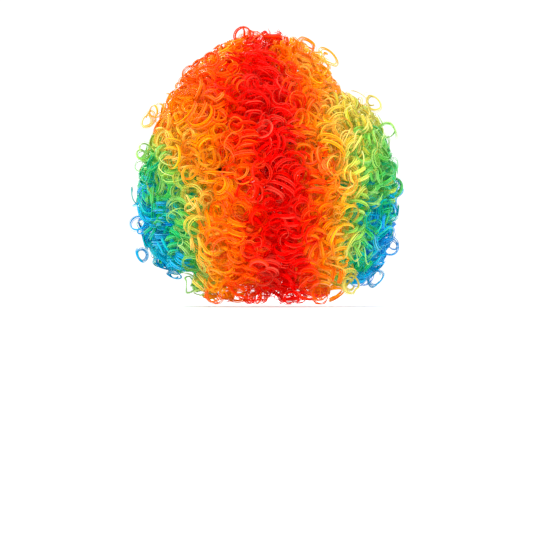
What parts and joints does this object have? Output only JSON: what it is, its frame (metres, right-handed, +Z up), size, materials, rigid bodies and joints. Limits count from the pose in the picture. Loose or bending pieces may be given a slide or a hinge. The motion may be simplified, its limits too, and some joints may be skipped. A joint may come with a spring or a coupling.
{
  "type": "costume wig",
  "caption": "Round curly wig striped in rainbow colours, wefts sewn to a stretch cap with ear tabs and nape hook adjusters.",
  "frame": {"origin": "centre of the head opening, in the plane of its rim", "axes": "+Z up to the crown, -Y towards the face, +X towards the wearer's left"},
  "size_m": [0.3058, 0.2952, 0.3213],
  "materials": {
    "fibre_red": "glossy crimped synthetic fibre, red",
    "fibre_orange": "glossy crimped synthetic fibre, orange",
    "fibre_yellow": "glossy crimped synthetic fibre, yellow",
    "fibre_green": "glossy crimped synthetic fibre, green",
    "fibre_blue": "glossy crimped synthetic fibre, blue",
    "weft_red": "stitched heads of red fibre",
    "weft_orange": "stitched heads of orange fibre",
    "weft_yellow": "stitched heads of yellow fibre",
    "weft_green": "stitched heads of green fibre",
    "weft_blue": "stitched heads of blue fibre",
    "stretch_net": "open knitted net, matt black",
    "hairline_ribbon": "woven black ribbon",
    "rim_elastic": "ribbed black elastic",
    "cross_ribbon": "narrow woven black ribbon",
    "tab_fabric": "bound black tricot",
    "loop_tape": "woven black tape",
    "loop_thread": "bar-tacked black thread",
    "narrow_elastic": "narrow black elastic",
    "hook_plastic": "moulded black plastic",
    "label_satin": "white satin ribbon, blank"
  },
  "bodies": {
    "cap": {"net_panel_1": "stretch_net", "net_panel_2": "stretch_net", "net_panel_3": "stretch_net", "net_panel_4": "stretch_net", "net_panel_5": "stretch_net", "net_panel_6": "stretch_net", "net_panel_7": "stretch_net", "front_hairline_ribbon": "hairline_ribbon", "rim_elastic": "rim_elastic", "cross_ribbon_1": "cross_ribbon", "cross_ribbon_2": "cross_ribbon", "cross_ribbon_3": "cross_ribbon", "cross_ribbon_4": "cross_ribbon", "cross_ribbon_5": "cross_ribbon", "cross_ribbon_6": "cross_ribbon", "weft_heads_red": "weft_red", "weft_heads_orange_left": "weft_orange", "weft_heads_orange_right": "weft_orange", "weft_heads_yellow_left": "weft_yellow", "weft_heads_yellow_right": "weft_yellow", "weft_heads_green_left": "weft_green", "weft_heads_green_right": "weft_green", "weft_heads_blue_left": "weft_blue", "weft_heads_blue_right": "weft_blue", "hair_red": "fibre_red", "hair_orange_left": "fibre_orange", "hair_orange_right": "fibre_orange", "hair_yellow_left": "fibre_yellow", "hair_yellow_right": "fibre_yellow", "hair_green_left": "fibre_green", "hair_green_right": "fibre_green", "hair_blue_left": "fibre_blue", "hair_blue_right": "fibre_blue", "loop_tape_left": "loop_tape", "loop_tape_right": "loop_tape", "loops_left": "loop_thread", "loops_right": "loop_thread", "adjuster_strap_left": "narrow_elastic", "adjuster_strap_right": "narrow_elastic", "care_label": "label_satin"},
    "adjuster_hook_left": {"adjuster_hook_left": "hook_plastic"},
    "adjuster_hook_right": {"adjuster_hook_right": "hook_plastic"},
    "ear_tab_left": {"ear_tab_left": "tab_fabric"},
    "ear_tab_right": {"ear_tab_right": "tab_fabric"}
  },
  "joints": [
    {"name": "adjuster_left_pull", "type": "slide", "parent": "cap", "child": "adjuster_hook_left", "axis": [-0.8871, 0.4128, -0.2064], "range_m": [0, 0.0065], "stiffness_N_per_m": 120, "springref_m": -0.004, "deforming": ["adjuster_strap_left"]},
    {"name": "adjuster_right_pull", "type": "slide", "parent": "cap", "child": "adjuster_hook_right", "axis": [0.8871, 0.4128, -0.2064], "range_m": [0, 0.0065], "stiffness_N_per_m": 120, "springref_m": -0.004, "deforming": ["adjuster_strap_right"]},
    {"name": "ear_tab_left_bend", "type": "hinge", "parent": "cap", "child": "ear_tab_left", "pos_m": [0.07611, -0.02531, 0.01266], "axis": [-0.1896, -0.8782, 0.4391], "range_deg": [-12, 18], "stiffness_Nm_per_rad": 0.004},
    {"name": "ear_tab_right_bend", "type": "hinge", "parent": "cap", "child": "ear_tab_right", "pos_m": [-0.07611, -0.02531, 0.01266], "axis": [-0.1896, 0.8782, -0.4391], "range_deg": [-12, 18], "stiffness_Nm_per_rad": 0.004}
  ]
}
